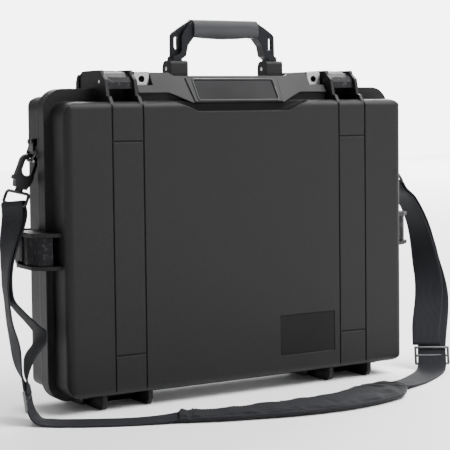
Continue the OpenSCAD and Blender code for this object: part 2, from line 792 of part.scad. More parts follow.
module strap_brackets() {
    color(steel_color) difference() {
        for (s = [-1, 1])
            translate([s * (shell_w + bracket_t) / 2 - bracket_t / 2, ring_y - bracket_w / 2, ring_bar_z - 5])
                cube([bracket_t, bracket_w, 15]);
        for (s = [-1, 1]) translate([s * ring_x, ring_y, ring_bar_z]) rotate([90, 0, 0])
            cylinder(r = ring_rod_r + pin_play, h = bracket_w + 2, center = true, $fn = small_fn);
        screw_spots() translate([0, 0, -1]) cylinder(r = screw_r, h = bracket_t + 2, $fn = small_fn);
    }
}

module bracket_screws() {
    color(steel_color) screw_spots() {
        translate([0, 0, -3]) cylinder(r = screw_r, h = bracket_t + 3, $fn = small_fn);
        translate([0, 0, bracket_t]) cylinder(r = 2.8, h = 1.4, $fn = small_fn);
    }
}

// A rod from a to b with round ends
module rod(a, b, r) {
    d = b - a;
    translate(a) rotate([0, acos(d[2] / norm(d)), atan2(d[1], d[0])]) cylinder(r = r, h = norm(d), $fn = small_fn);
    translate(a) sphere(r, $fn = small_fn);
    translate(b) sphere(r, $fn = small_fn);
}

module ring(s) {
    color(steel_color) translate([s * ring_x, ring_y, ring_bar_z]) rotate([0, -s * ring_tilt, 0]) {
        rod([0, -ring_bend_r, 0], [0, ring_bend_r, 0], ring_rod_r);
        for (t = [-1, 1]) rod([0, t * ring_bend_r, 0], [0, t * ring_bend_r, -ring_leg], ring_rod_r);
        translate([0, 0, -ring_leg]) rotate([-90, 0, 90])
            rotate_extrude(angle = 180, $fn = round_fn) translate([ring_bend_r, 0]) circle(ring_rod_r, $fn = small_fn);
    }
}

// Hangs its children on a ring's lowest point, at the hook's size; x points to the case
hook_size = 1.28;
hook_hang = 0.4;
module on_ring(s) {
    tilt = s < 0 ? hook_tilt_left : hook_tilt_right;
    translate([s * ring_x, ring_y, ring_bar_z]) rotate([0, -s * ring_tilt, 0])
        translate([0, 0, -ring_drop]) rotate([0, s * (ring_tilt - tilt), 0])
            mirror([s > 0 ? 1 : 0, 0, 0]) translate([0, 0, -hook_hang]) scale(hook_size) children();
}

hook_eye_r = 5;
hook_rim = 3.8;
hook_t = 7;
gate_x = hook_eye_r + hook_rim / 2;
gate_z = -15.2;
gate_pin_r = 0.9;
neck_r = 2.2;
loop_high = -31.2;
loop_low = -43;
loop_rod_r = 1.5;
loop_turn_left = 104;
loop_turn_right = 88;
loop_bend_r = 3.2;

module snap_hook(s) {
    outer = hook_eye_r + hook_rim;
    color(steel_color) on_ring(s) difference() {
        union() {
            difference() {
                along_y(-hook_t / 2, hook_t / 2) {
                    translate([0, -2.2]) circle(outer, $fn = round_fn);
                    translate([-outer, -18]) square([2 * outer, 15.8]);
                    polygon([[-outer, -18.5], [-6, -27], [6, -27], [outer, -18.5], [outer, -17], [-outer, -17]]);
                }
                along_y(-hook_t, hook_t) {
                    translate([0, -2.2]) circle(hook_eye_r, $fn = round_fn);
                    translate([0, -9.5]) circle(hook_eye_r, $fn = round_fn);
                    translate([-hook_eye_r, -9.5]) square([2 * hook_eye_r, 7.3]);
                }
                translate([hook_eye_r - 1.5, -hook_t, -13.4]) cube([hook_rim + 3, 2 * hook_t, 13.6]);
                translate([hook_eye_r - 1.5, -2.8, -17.6]) cube([hook_rim + 3, 5.6, 6]);
            }
            // Pin of the gate, and the thumb rest
            translate([gate_x, 0, gate_z]) rotate([90, 0, 0])
                cylinder(r = gate_pin_r, h = hook_t - 0.4, center = true, $fn = small_fn);
            translate([-outer - 1.6, -hook_t / 2, -21]) cube([3, hook_t, 4]);
        }
        translate([0, 0, -27.5]) cylinder(r = neck_r + pin_play, h = 6.5, $fn = small_fn);
    }
}

module hook_gate(s) {
    color(steel_color) on_ring(s) difference() {
        union() {
            translate([hook_eye_r + 0.3, -2.5, gate_z]) cube([hook_rim - 0.6, 5, -gate_z - 0.1]);
            translate([gate_x, 0, gate_z]) rotate([90, 0, 0])
                cylinder(r = 1.6, h = 5, center = true, $fn = small_fn);
        }
        translate([gate_x, 0, gate_z]) rotate([90, 0, 0])
            cylinder(r = gate_pin_r + pin_play, h = 6, center = true, $fn = small_fn);
    }
}

module swivel(s) {
    side = (webbing_w / 2 + 3) / hook_size;
    mid = (loop_high + loop_low) / 2;
    flat = (loop_high - loop_low) / 2 - loop_bend_r;
    color(steel_color) on_ring(s) {
        translate([0, 0, -30.5]) cylinder(r = neck_r, h = 9, $fn = small_fn);
        translate([0, 0, -31]) cylinder(r = 3.8, h = 3.8, $fn = small_fn);
        rotate([0, 0, s < 0 ? loop_turn_left : loop_turn_right]) translate([0, 0, mid]) {
            for (t = [-1, 1]) {
                translate([loop_bend_r - side, 0, t * (flat + loop_bend_r)]) rotate([0, 90, 0])
                    cylinder(r = loop_rod_r, h = 2 * (side - loop_bend_r), $fn = small_fn);
                translate([t * side, 0, -flat]) cylinder(r = loop_rod_r, h = 2 * flat, $fn = small_fn);
            }
            for (q = [0:3])
                translate([(q == 0 || q == 3 ? 1 : -1) * (side - loop_bend_r), 0, q < 2 ? flat : -flat])
                    rotate([90, 0, 0]) rotate(90 * q) rotate_extrude(angle = 90, $fn = round_fn)
                        translate([loop_bend_r, 0]) circle(loop_rod_r, $fn = small_fn);
        }
    }
}

// Where the adjusters stand, and the heading and lean of each
slider_left_place = [-294, -52, 27];
slider_left_turn = [59, -8];
slider_right_place = [296, -54, 18];
slider_right_turn = [149, 18];

// An adjuster: a wire frame with a middle bar
module slider(place, turn) {
    half = webbing_w / 2 + 3;
    color(steel_color) translate(place) rotate([0, 0, turn[0]]) rotate([turn[1], 0, 0]) {
        for (z = [-11, 0, 11]) rod([-half, 0, z], [half, 0, z], 1.7);
        for (t = [-1, 1]) rod([t * half, 0, -11], [t * half, 0, 11], 1.7);
    }
}

// ---- webbing, laid by hand: [x, y, z, heading of its width] ----
strap_left_way = [
    [-276.7, 20, 245.3, 108], [-278.5, 18, 232, 107], [-283, 14, 219, 103], [-288, 9, 206, 97],
    [-292.5, 3.5, 193, 89], [-298, -4, 174.5, 81], [-301.3, -9.5, 155, 78], [-302, -14, 138, 76],
    [-302, -22, 110, 75], [-300, -31, 86, 72], [-299, -39, 64, 66], [-296, -48, 43, 61],
    [-294, -53, 27, 59], [-292, -59, 13, 59], [-287, -68, 4, 60], [-276, -79, 1.4, 61],
    [-255, -94, 1.3, 60], [-225, -111, 1.3, 59], [-190, -126, 1.3, 64], [-160, -137, 3, 66],
    [-138, -144, 6, 64]
];
strap_left_inner_way = [
    [-276.7, 20, 245.3, 108], [-275.5, 16.5, 232, 107], [-279, 12.5, 219, 103], [-284, 8, 206, 97],
    [-288.6, 3, 193, 89], [-294.2, -4, 174.5, 81], [-297.4, -9.5, 155, 78], [-297, -13, 138, 77],
    [-288, -16.5, 124, 78], [-275, -20.5, 109, 76], [-267, -25, 97, 73], [-270, -31, 86, 68],
    [-284, -39, 71, 64], [-292, -46, 52, 61], [-292, -50, 32, 59]
];
strap_right_way = [
    [287.8, 20, 251.3, 92], [297, 20.5, 242, 92], [311, 20, 231, 93], [322, 18, 213, 94],
    [330, 14.5, 190, 98], [333, 9, 164, 106], [332, 1, 141, 116], [332.4, -8, 118, 127],
    [331, -17, 95, 138], [323, -27, 72, 146], [308, -41, 46, 149], [299, -50, 26, 149],
    [294, -57, 14, 145], [286, -66, 5, 138], [272, -78, 1.4, 130], [246, -97, 1.3, 121],
    [216, -115, 1.3, 117], [188, -128, 3, 116], [166, -138, 6, 118]
];
strap_right_inner_way = [
    [287.8, 20, 251.3, 92], [293.5, 19.5, 240, 92], [307, 19, 228, 93], [317.5, 17, 211, 94],
    [325.5, 13.5, 188, 98], [328, 7, 163, 106], [327, -1.5, 140, 117], [325, -11, 115, 130],
    [318, -20, 88, 142], [303, -33, 56, 149], [294, -45, 31, 149]
];
// Shoulder pad: [x, y, height of its middle over its resting height, heading, width, thickness]
pad_way = [
    [-146, -140, 0, 61, 0.86, 0.6], [-138, -144, 0, 63, 0.95, 0.9], [-101, -160, 0, 70, 1, 1],
    [-60, -169, 0, 77, 1, 1], [-20, -175, 0, 84, 1, 1], [20, -178, 0, 90, 1, 1],
    [60, -177, 0, 96, 1, 1], [100, -169, 0, 104, 1, 1], [135, -154, 0, 113, 1, 1],
    [158, -142, 0, 118, 0.95, 0.9], [166, -137, 0, 119, 0.86, 0.6]
];

// Eight points round a flat section, its edges bevelled
function flat_section(w, t) = let (b = t / 4) [
    [-w / 2 + 2 * b, -t / 2], [w / 2 - 2 * b, -t / 2], [w / 2, -t / 2 + b], [w / 2, t / 2 - b],
    [w / 2 - 2 * b, t / 2], [-w / 2 + 2 * b, t / 2], [-w / 2, t / 2 - b], [-w / 2, -t / 2 + b]
];
function spot(p) = [p[0], p[1], p[2]];
function unit(v) = v / norm(v);
function way_tangent(way, i) =
    unit(spot(way[min(i + 1, len(way) - 1)]) - spot(way[max(i - 1, 0)]));
// The width's direction, square to the way
function way_across(way, i) = let (t = way_tangent(way, i), w = [cos(way[i][3]), sin(way[i][3]), 0])
    unit(w - (w * t) * t);

// Sweeps a flat section along a way; sizes gives the width and thickness at each of its points
module flat_sweep(way, sizes) {
    last = len(way) - 1;
    points = [for (i = [0:last]) let (t = way_tangent(way, i), w = way_across(way, i), n = cross(t, w))
        for (q = flat_section(sizes[i][0], sizes[i][1])) spot(way[i]) + q[0] * w + q[1] * n];
    faces = concat(
        [[for (k = [0:7]) k]],
        [for (i = [0:last - 1], k = [0:7]) [8 * i + k, 8 * i + 8 + k, 8 * i + 8 + (k + 1) % 8]],
        [for (i = [0:last - 1], k = [0:7]) [8 * i + k, 8 * i + 8 + (k + 1) % 8, 8 * i + (k + 1) % 8]],
        [[for (k = [7:-1:0]) 8 * last + k]]
    );
    polyhedron(points, faces);
}

module webbing(way) {
    color(webbing_color) flat_sweep(way, [for (p = way) [webbing_w, webbing_t]]);
}

module shoulder_pad() {
    way = [for (p = pad_way) [p[0], p[1], pad_t / 2 + p[2], p[3]]];
    color(webbing_color) flat_sweep(way, [for (p = pad_way) [pad_w * p[4], pad_t * p[5]]]);
}

base_shell();
lid_shell();
sealing_ring();
base_foam();
lid_foam();
hinge_pins();
padlock_plates_lid();
padlock_plates_base();
name_plate();
label_plate();
latch_pins();
latch_frame(0);  // latch_frame_top_left
latch_frame(1);  // latch_frame_top_right
latch_frame(2);  // latch_frame_side_left
latch_frame(3);  // latch_frame_side_right
lever_pin(0);  // lever_pin_top_left
lever_pin(1);  // lever_pin_top_right
lever_pin(2);  // lever_pin_side_left
lever_pin(3);  // lever_pin_side_right
latch_lever(0);  // latch_lever_top_left
latch_lever(1);  // latch_lever_top_right
latch_lever(2);  // latch_lever_side_left
latch_lever(3);  // latch_lever_side_right
handle_core();
handle_grip();
handle_pins();
pressure_valve();
valve_cap();
strap_brackets();
bracket_screws();
ring(-1);  // ring_left
ring(1);  // ring_right
snap_hook(-1);  // snap_hook_left
snap_hook(1);  // snap_hook_right
hook_gate(-1);  // hook_gate_left
hook_gate(1);  // hook_gate_right
swivel(-1);  // swivel_left
swivel(1);  // swivel_right
webbing(strap_left_way);  // strap_left
webbing(strap_left_inner_way);  // strap_left_inner
webbing(strap_right_way);  // strap_right
webbing(strap_right_inner_way);  // strap_right_inner
slider(slider_left_place, slider_left_turn);  // slider_left
slider(slider_right_place, slider_right_turn);  // slider_right
shoulder_pad();
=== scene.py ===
import json
import math

import bpy
import numpy as np
from mathutils import Matrix, Vector
from mathutils.bvhtree import BVHTree


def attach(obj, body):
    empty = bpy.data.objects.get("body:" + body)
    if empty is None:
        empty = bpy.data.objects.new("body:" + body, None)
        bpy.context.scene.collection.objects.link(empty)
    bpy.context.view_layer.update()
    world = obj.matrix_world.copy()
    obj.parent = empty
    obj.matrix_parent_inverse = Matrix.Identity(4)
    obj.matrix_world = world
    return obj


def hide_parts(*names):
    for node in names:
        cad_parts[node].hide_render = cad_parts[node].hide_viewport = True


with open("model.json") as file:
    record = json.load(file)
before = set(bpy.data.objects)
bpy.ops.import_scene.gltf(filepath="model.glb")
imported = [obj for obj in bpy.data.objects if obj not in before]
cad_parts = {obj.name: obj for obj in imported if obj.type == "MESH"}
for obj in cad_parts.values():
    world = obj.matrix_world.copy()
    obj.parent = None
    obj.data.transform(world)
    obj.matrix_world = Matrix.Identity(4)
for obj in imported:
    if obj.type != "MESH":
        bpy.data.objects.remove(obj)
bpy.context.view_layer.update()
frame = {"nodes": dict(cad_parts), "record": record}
nodes = frame["nodes"]
print("stage: frame loaded")


def inScene(name, data):
    obj = bpy.data.objects.new(name, data)
    bpy.context.scene.collection.objects.link(obj)
    return obj


# Camera, from a fit to the photograph
camera = {
    "place": (-0.9392, -1.5699, 0.3620),
    "heading": 31.0,
    "down": 3.2318,
    "roll": -0.6434,
    "lens": 115.09,
    "sensor": 36.0,
    "shift": (0.0, -0.0889),
    "clip": (0.05, 60.0),
}


def placeCamera(s):
    yaw, down, roll = (math.radians(s[k]) for k in ("heading", "down", "roll"))
    ahead = Vector((math.sin(yaw) * math.cos(down), math.cos(yaw) * math.cos(down), -math.sin(down)))
    level = Vector((math.cos(yaw), -math.sin(yaw), 0.0))
    upright = level.cross(ahead)
    right = level * math.cos(roll) + upright * math.sin(roll)
    up = upright * math.cos(roll) - level * math.sin(roll)
    data = bpy.data.cameras.new("photoCamera")
    data.lens = s["lens"]
    data.sensor_width = s["sensor"]
    data.shift_x, data.shift_y = s["shift"]
    data.clip_start, data.clip_end = s["clip"]
    data.dof.use_dof = False
    view = inScene("photoCamera", data)
    turn = Matrix((right, up, -ahead)).transposed().to_4x4()
    view.matrix_world = Matrix.Translation(Vector(s["place"])) @ turn
    bpy.context.scene.camera = view


placeCamera(camera)
print("stage: camera")


def smoothWay(points, steps):
    # A Catmull-Rom curve through the points, with their other columns eased in the same way
    p = np.array(points, float)
    p = np.vstack([2 * p[0] - p[1], p, 2 * p[-1] - p[-2]])
    out = []
    for i in range(1, len(p) - 2):
        for k in range(steps):
            t = k / steps
            out.append(
                0.5
                * (
                    2 * p[i]
                    + (p[i + 1] - p[i - 1]) * t
                    + (2 * p[i - 1] - 5 * p[i] + 4 * p[i + 1] - p[i + 2]) * t**2
                    + (3 * p[i] - p[i - 1] - 3 * p[i + 1] + p[i + 2]) * t**3
                )
            )
    out.append(p[-2])
    return np.array(out)


def unitRows(rows):
    return rows / np.linalg.norm(rows, axis=1)[:, None]


def aheadAlong(places):
    return unitRows(np.gradient(places, axis=0))


def lengthsAlong(places):
    return np.concatenate([[0], np.cumsum(np.linalg.norm(np.diff(places, axis=0), axis=1))])


def axesAlong(places, headings):
    # The width's direction from its heading, square to the way, and the normal
    ahead = aheadAlong(places)
    a = np.radians(headings)
    across = np.stack([np.cos(a), np.sin(a), np.zeros_like(a)], axis=1)
    across = unitRows(across - ahead * (across * ahead).sum(1)[:, None])
    return across, np.cross(ahead, across)


def sweep(name, places, across, normal, rings, material):
    # A ring is a closed loop of (across, out) offsets: one for every place, or one of its own for each
    if rings.ndim == 2:
        rings = np.repeat(rings[None], len(places), axis=0)
    count = rings.shape[1]
    verts = (
        places[:, None, :]
        + rings[:, :, 0:1] * across[:, None, :]
        + rings[:, :, 1:2] * normal[:, None, :]
    ).reshape(-1, 3)
    last = len(places) - 1
    faces = [
        (count * i + k, count * i + (k + 1) % count, count * (i + 1) + (k + 1) % count, count * (i + 1) + k)
        for i in range(last)
        for k in range(count)
    ]
    faces.append(tuple(range(count - 1, -1, -1)))
    faces.append(tuple(count * last + k for k in range(count)))
    mesh = bpy.data.meshes.new(name)
    mesh.from_pydata(verts.tolist(), [], faces)
    along = lengthsAlong(places)
    uv = mesh.uv_layers.new(name="cloth")
    for poly in mesh.polygons:
        for loop in poly.loop_indices:
            v = mesh.loops[loop].vertex_index
            uv.data[loop].uv = (rings[v // count, v % count, 0], along[v // count])
    mesh.materials.append(material)
    mesh.polygons.foreach_set("use_smooth", [True] * len(mesh.polygons))
    return inScene(name, mesh)


def roundRing(radius, steps):
    return [(radius * math.cos(a), radius * math.sin(a)) for a in np.linspace(0, 2 * math.pi, steps + 1)[:-1]]


class Shader:
    def __init__(self, name):
        self.material = bpy.data.materials.new(name)
        self.material.use_nodes = True
        self.tree = self.material.node_tree
        self.main = self.tree.nodes["Principled BSDF"]

    def feed(self, socket, value):
        if isinstance(value, bpy.types.NodeSocket):
            self.tree.links.new(value, socket)
        else:
            socket.default_value = value

    def node(self, kind, inputs=None, **settings):
        made = self.tree.nodes.new(kind)
        for key, value in settings.items():
            setattr(made, key, value)
        for key, value in (inputs or {}).items():
            self.feed(made.inputs[key], value)
        return made

    def place(self):
        return self.node("ShaderNodeTexCoord").outputs["Object"]

    def math(self, operation, *values):
        return self.node("ShaderNodeMath", dict(enumerate(values)), operation=operation).outputs[0]

    def mixed(self, factor, low, high):
        # Inputs 6 and 7 are the two colours, and output 2 is the mixed one
        colors = {"Factor": factor, 6: (*low, 1.0), 7: (*high, 1.0)}
        return self.node("ShaderNodeMix", colors, data_type="RGBA").outputs[2]

    def setMain(self, values):
        for key, value in values.items():
            self.feed(self.main.inputs[key], value)


plasticLook = {
    "bump": 0.55, "wideScale": 18.0, "wide": (0.3, 0.7), "speckShare": 0.4, "speck": (0.56, 0.72),
    "fleckGain": 5, "fleckLift": 0.03, "bevelSamples": 4,
}


def mouldedPlastic(name, color, roughness, grain, grainDepth, edge, spread=0.06, shine=0.3, fleck=0.0):
    s = Shader(name)
    look = plasticLook
    place = s.place()
    fine = s.node("ShaderNodeTexNoise", {"Vector": place, "Scale": grain, "Detail": 2.0, "Roughness": 0.6})
    wide = s.node("ShaderNodeTexNoise", {"Vector": place, "Scale": look["wideScale"], "Detail": 3.0})
    speckScale = grain * look["speckShare"]
    speck = s.node("ShaderNodeTexNoise", {"Vector": place, "Scale": speckScale, "Detail": 1.0})
    rounded = s.node("ShaderNodeBevel", {"Radius": edge}, samples=look["bevelSamples"])
    bump = s.node("ShaderNodeBump", {
        "Strength": look["bump"], "Distance": grainDepth, "Height": fine.outputs["Fac"],
        "Normal": rounded.outputs[0],
    })
    rough = s.node("ShaderNodeMapRange", {
        "Value": wide.outputs["Fac"], "From Min": look["wide"][0], "From Max": look["wide"][1],
        "To Min": roughness - spread, "To Max": roughness + spread,
    })
    light = s.node("ShaderNodeMapRange", {
        "Value": speck.outputs["Fac"], "From Min": look["speck"][0], "From Max": look["speck"][1],
        "To Min": 0.0, "To Max": fleck,
    })
    paler = [min(1.0, c * look["fleckGain"] + look["fleckLift"]) for c in color]
    s.setMain({
        "Base Color": s.mixed(light.outputs[0], color, paler), "Roughness": rough.outputs[0],
        "Normal": bump.outputs[0], "Specular IOR Level": shine,
    })
    return s.material


def metal(name, color, roughness, edge, brushed):
    s = Shader(name)
    stretch = s.node("ShaderNodeMapping", {"Vector": s.place(), "Scale": (40.0, 900.0, 900.0)})
    lines = s.node("ShaderNodeTexNoise", {"Vector": stretch.outputs[0], "Scale": 1.0, "Detail": 2.0})
    rounded = s.node("ShaderNodeBevel", {"Radius": edge}, samples=plasticLook["bevelSamples"])
    bump = s.node("ShaderNodeBump", {
        "Strength": brushed, "Distance": 0.0001, "Height": lines.outputs["Fac"], "Normal": rounded.outputs[0],
    })
    s.setMain({
        "Base Color": (*color, 1.0), "Metallic": 1.0, "Roughness": roughness, "Normal": bump.outputs[0],
    })
    return s.material


# dark and pale are the shares of the cloth's colour down in the weave's valleys, a painted shade, and up on
# its ridges, a painted highlight
weave = {
    "low": 0.45, "knot": 0.55, "dark": 0.45, "pale": 1.25, "bump": 0.9, "shine": 0.2, "sheenRoughness": 0.4,
}


def wovenCloth(name, color, pitch, depth, roughness, sheen):
    # Ridges across the width, each crossed by knots, with every second row half a pitch on
    s = Shader(name)
    uv = s.node("ShaderNodeUVMap", uv_map="cloth").outputs[0]
    parts = s.node("ShaderNodeSeparateXYZ", {"Vector": uv})
    a = s.math("DIVIDE", parts.outputs[0], pitch[0])
    shift = s.math("MULTIPLY", s.math("MODULO", s.math("FLOOR", a), 2.0), 0.5)
    b = s.math("ADD", s.math("DIVIDE", parts.outputs[1], pitch[1]), shift)
    ridge, knot = (
        s.math("ABSOLUTE", s.math("SINE", s.math("MULTIPLY", s.math("FRACT", v), math.pi))) for v in (a, b)
    )
    knots = s.math("ADD", weave["low"], s.math("MULTIPLY", knot, weave["knot"]))
    height = s.math("MULTIPLY", ridge, knots)
    bump = s.node("ShaderNodeBump", {"Strength": weave["bump"], "Distance": depth, "Height": height})
    # The colour follows the bump's height: darker in the valleys as painted shade, paler on the ridges as
    # painted highlight
    dark, pale = ([c * weave[key] for c in color] for key in ("dark", "pale"))
    s.setMain({
        "Base Color": s.mixed(height, dark, pale), "Roughness": roughness, "Normal": bump.outputs[0],
        "Specular IOR Level": weave["shine"], "Sheen Weight": sheen,
        "Sheen Roughness": weave["sheenRoughness"],
    })
    return s.material


def foamMaterial(name, color):
    s = Shader(name)
    cells = s.node("ShaderNodeTexVoronoi", {"Vector": s.place(), "Scale": 900.0})
    bump = s.node("ShaderNodeBump", {
        "Strength": 0.8, "Distance": 0.0006, "Height": cells.outputs["Distance"],
    })
    s.setMain({
        "Base Color": (*color, 1.0), "Roughness": 0.95, "Normal": bump.outputs[0], "Sheen Weight": 0.3,
    })
    return s.material


materials = {
    "shell": mouldedPlastic(
        "shellPlastic", (0.0098, 0.0098, 0.0103), roughness=0.5, grain=2400.0, grainDepth=0.0002, edge=0.0018,
        spread=0.025, shine=0.17, fleck=0.12,
    ),
    "latch_plastic": mouldedPlastic(
        "latchPlastic", (0.009, 0.009, 0.0105), roughness=0.56, grain=520.0, grainDepth=0.0011, edge=0.0009,
        shine=0.14, fleck=0.35,
    ),
    "plate": mouldedPlastic(
        "platePlastic", (0.0085, 0.0085, 0.0095), roughness=0.52, grain=3000.0, grainDepth=0.0001,
        edge=0.0004, shine=0.08,
    ),
    "grip_rubber": mouldedPlastic(
        "gripRubber", (0.030, 0.031, 0.034), roughness=0.65, grain=1800.0, grainDepth=0.0003, edge=0.001,
    ),
    "seal": mouldedPlastic(
        "sealRubber", (0.02, 0.02, 0.02), roughness=0.6, grain=1500.0, grainDepth=0.0001, edge=0.0005,
    ),
    "foam": foamMaterial("liningFoam", (0.035, 0.035, 0.038)),
    "steel": metal("brightSteel", (0.86, 0.86, 0.85), roughness=0.24, edge=0.0004, brushed=0.4),
    "dark_metal": metal("darkMetal", (0.045, 0.045, 0.047), roughness=0.32, edge=0.0005, brushed=0.1),
    "webbing": wovenCloth(
        "strapWebbing", (0.0125, 0.013, 0.0165), pitch=(0.0016, 0.0021), depth=0.0005, roughness=0.75,
        sheen=0.02,
    ),
    "pad_fabric": wovenCloth(
        "padCloth", (0.015, 0.0155, 0.0185), pitch=(0.0008, 0.0009), depth=0.0002, roughness=0.78, sheen=0.04,
    ),
}
# Paler than the shell plastic: a painted highlight for the lip round the name plate
paintedHighlightLip = mouldedPlastic(
    "paintedHighlightLip", (0.03, 0.03, 0.032), roughness=0.36, grain=2400.0, grainDepth=0.0001, edge=0.0004,
)
threadMaterial = mouldedPlastic(
    "sewingThread", (0.016, 0.017, 0.021), roughness=0.6, grain=3000.0, grainDepth=0.0001, edge=0.0001,
)
sliderMetal = metal("sliderMetal", (0.13, 0.13, 0.135), roughness=0.3, edge=0.0005, brushed=0.1)
# Materials of single solids
ownMaterial = {
    "label_plate": mouldedPlastic(
        "labelPlastic", (0.0055, 0.0055, 0.006), roughness=0.36, grain=3000.0, grainDepth=0.00005,
        edge=0.0004, shine=0.1,
    ),
    "handle_core": mouldedPlastic(
        "handlePlastic", (0.007, 0.0075, 0.0095), roughness=0.5, grain=1400.0, grainDepth=0.0003,
        edge=0.0012, shine=0.15,
    ),
    "slider_left": sliderMetal,
    "slider_right": sliderMetal,
}
sharpAngle = {"usual": 28, "lid_foam": 60}
slotOf = {p["node"]: p["material_slot"] for p in frame["record"]["subparts"]}
for name, obj in nodes.items():
    obj.data.materials.clear()
    obj.data.materials.append(ownMaterial.get(name, materials[slotOf[name]]))
    obj.data.shade_smooth()
    obj.data.set_sharp_from_angle(angle=math.radians(sharpAngle.get(name, sharpAngle["usual"])))
print("stage: materials")

# Thin lip round the name plate's recess, laid on the lid's sloped step. Its plastic is paler than the shell,
# a painted highlight along the recess's edge.
plateLip = {
    "tilt": 32.6, "half": (0.0585, 0.0155), "corner": 0.003, "radius": 0.0011, "cornerSteps": 6,
    "ringSteps": 8, "above": 0.02,
}


def makePlateLip(s):
    tilt = math.radians(s["tilt"])
    # Rows: along the plate, up its slope, and out of it
    axes = np.array([[1, 0, 0], [0, math.sin(tilt), math.cos(tilt)], [0, -math.cos(tilt), math.sin(tilt)]])
    plate, shell = nodes["name_plate"], nodes["lid_shell"]
    corners = np.array([(plate.matrix_world @ v.co)[:] for v in plate.data.vertices]) @ axes.T
    middle = (corners.min(axis=0) + corners.max(axis=0)) / 2
    flat = []
    for quarter, (sx, sy) in enumerate(((1, 1), (-1, 1), (-1, -1), (1, -1))):
        for a in np.radians(np.linspace(0, 90, s["cornerSteps"]) + 90 * quarter):
            flat.append((
                sx * (s["half"][0] - s["corner"]) + s["corner"] * math.cos(a),
                sy * (s["half"][1] - s["corner"]) + s["corner"] * math.sin(a),
            ))
    flat.append(flat[0])
    tree = BVHTree.FromObject(shell, bpy.context.evaluated_depsgraph_get())
    home = shell.matrix_world.inverted()
    line = []
    for x, y in flat:
        start = (middle + (x, y, s["above"])) @ axes
        hit = tree.ray_cast(home @ Vector(start), home.to_3x3() @ Vector(-axes[2]))[0]
        line.append((shell.matrix_world @ hit)[:])
    line = np.array(line)
    ahead = aheadAlong(line)
    across = np.cross(ahead, axes[2])
    ring = np.array(roundRing(s["radius"], s["ringSteps"]))
    obj = sweep("namePlateLip", line, across, np.cross(ahead, across), ring, paintedHighlightLip)
    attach(obj, "lid")


makePlateLip(plateLip)
print("stage: lip")

# Strap routes: the solids' points in metres, then the heading of the width. Low on the left side the
# width is turned further to the viewer than the solids' is.
routes = {
    "strapLeft": [
        [-0.2767, 0.02, 0.2453, 108], [-0.2785, 0.018, 0.232, 107], [-0.283, 0.014, 0.219, 103],
        [-0.288, 0.009, 0.206, 97], [-0.2925, 0.0035, 0.193, 89], [-0.298, -0.004, 0.1745, 81],
        [-0.3013, -0.0095, 0.155, 78], [-0.302, -0.014, 0.138, 76], [-0.302, -0.022, 0.11, 78],
        [-0.3, -0.031, 0.086, 84], [-0.299, -0.039, 0.064, 80], [-0.296, -0.048, 0.043, 65],
        [-0.294, -0.053, 0.027, 59], [-0.292, -0.059, 0.013, 59], [-0.287, -0.068, 0.004, 60],
        [-0.276, -0.079, 0.0014, 61], [-0.255, -0.094, 0.0013, 60], [-0.225, -0.111, 0.0013, 59],
        [-0.19, -0.126, 0.0013, 64], [-0.16, -0.137, 0.003, 66], [-0.138, -0.144, 0.006, 64],
    ],
    "strapLeftInner": [
        [-0.2767, 0.02, 0.2453, 108], [-0.2755, 0.0165, 0.232, 107], [-0.279, 0.0125, 0.219, 103],
        [-0.284, 0.008, 0.206, 97], [-0.2886, 0.003, 0.193, 89], [-0.2942, -0.004, 0.1745, 81],
        [-0.2974, -0.0095, 0.155, 79], [-0.297, -0.013, 0.138, 82], [-0.288, -0.0165, 0.124, 87],
        [-0.275, -0.0205, 0.109, 90], [-0.267, -0.025, 0.097, 90], [-0.27, -0.031, 0.086, 84],
        [-0.284, -0.039, 0.071, 80], [-0.292, -0.046, 0.052, 70], [-0.292, -0.05, 0.032, 59],
    ],
    "strapRight": [
        [0.2878, 0.02, 0.2513, 92], [0.297, 0.0205, 0.242, 92], [0.311, 0.02, 0.231, 93],
        [0.322, 0.018, 0.213, 94], [0.33, 0.0145, 0.19, 98], [0.333, 0.009, 0.164, 106],
        [0.332, 0.001, 0.141, 116], [0.3324, -0.008, 0.118, 127], [0.331, -0.017, 0.095, 138],
        [0.323, -0.027, 0.072, 146], [0.308, -0.041, 0.046, 149], [0.299, -0.05, 0.026, 149],
        [0.294, -0.057, 0.014, 145], [0.286, -0.066, 0.005, 138], [0.272, -0.078, 0.0014, 130],
        [0.246, -0.097, 0.0013, 121], [0.216, -0.115, 0.0013, 117], [0.188, -0.128, 0.003, 116],
        [0.166, -0.138, 0.006, 118],
    ],
    "strapRightInner": [
        [0.2878, 0.02, 0.2513, 92], [0.2935, 0.0195, 0.24, 92], [0.307, 0.019, 0.228, 93],
        [0.3175, 0.017, 0.211, 94], [0.3255, 0.0135, 0.188, 98], [0.328, 0.007, 0.163, 106],
        [0.327, -0.0015, 0.14, 117], [0.325, -0.011, 0.115, 130], [0.318, -0.02, 0.088, 142],
        [0.303, -0.033, 0.056, 149], [0.294, -0.045, 0.031, 149],
    ],
}
replacedNode = {
    "strapLeft": "strap_left",
    "strapLeftInner": "strap_left_inner",
    "strapRight": "strap_right",
    "strapRightInner": "strap_right_inner",
}
# The side of the loop's bar that each strand passes
barSide = {"strapLeft": -1, "strapLeftInner": 1, "strapRight": 1, "strapRightInner": -1}
strap = {
    "width": 0.038, "thickness": 0.0022, "edgeTurns": (-54, -18, 18, 54), "stepsBetween": 6,
    "acrossSteps": 10, "barGap": 0.0032, "barReach": 0.03, "wrapSteps": 17,
}


def webbingRing(s):
    # A flat section with round edges, anticlockwise
    steps, edge = s["acrossSteps"], s["thickness"] / 2
    half = s["width"] / 2 - edge
    low = [(-half + 2 * half * k / steps, -edge) for k in range(steps + 1)]
    end = [(half + edge * math.cos(a), edge * math.sin(a)) for a in np.radians(s["edgeTurns"])]
    return np.array(low + end + [(-x, -y) for x, y in low] + [(-x, -y) for x, y in end])


strapRing = webbingRing(strap)


